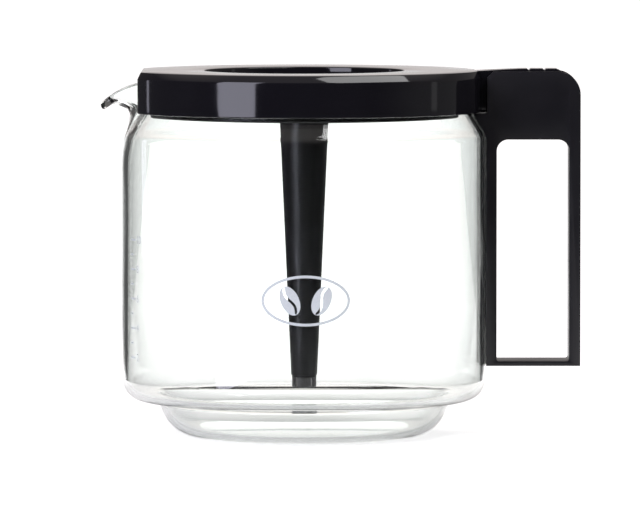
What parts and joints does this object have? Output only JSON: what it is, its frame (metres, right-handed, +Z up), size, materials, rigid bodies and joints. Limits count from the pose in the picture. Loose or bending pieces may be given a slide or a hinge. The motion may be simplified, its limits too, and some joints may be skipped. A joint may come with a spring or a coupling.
{
  "type": "glass coffee jug",
  "caption": "Round clear glass coffee jug on a stepped bowl foot, with a pouring spout, a black D handle and a black hinged brew-through lid with a thumb lever and a mixing tube.",
  "frame": {"origin": "centre of the jug's flat foot, on the jug's axis", "axes": "+Z up along the jug's axis, +X from the axis towards the handle, -X towards the spout, +Y towards the back"},
  "size_m": [0.1967, 0.15, 0.1509],
  "materials": {
    "clear_glass": "clear, fire-polished",
    "black_handle_plastic": "satin gloss",
    "black_lever_plastic": "satin gloss",
    "black_lid_plastic": "gloss",
    "black_liner_plastic": "semi-matt",
    "silicone_bond": "soft, translucent",
    "stainless_pin": "ground"
  },
  "bodies": {
    "jug": {"glass_jug": "clear_glass", "handle": "black_handle_plastic", "shoulder_bond": "silicone_bond", "leg_bond": "silicone_bond"},
    "pin": {"hinge_pin": "stainless_pin"},
    "lid": {"thumb_lever": "black_lever_plastic", "lid_cover": "black_lid_plastic", "lid_liner": "black_liner_plastic", "mixing_tube": "black_liner_plastic"}
  },
  "joints": [
    {"name": "lid_lift", "type": "slide", "parent": "jug", "child": "pin", "axis": [0, 0, 1], "range_m": [0, 0.14]},
    {"name": "lid_hinge", "type": "hinge", "parent": "pin", "child": "lid", "pos_m": [0.079, 0, 0.142], "axis": [0, 1, 0], "range_deg": [0, 38]}
  ]
}
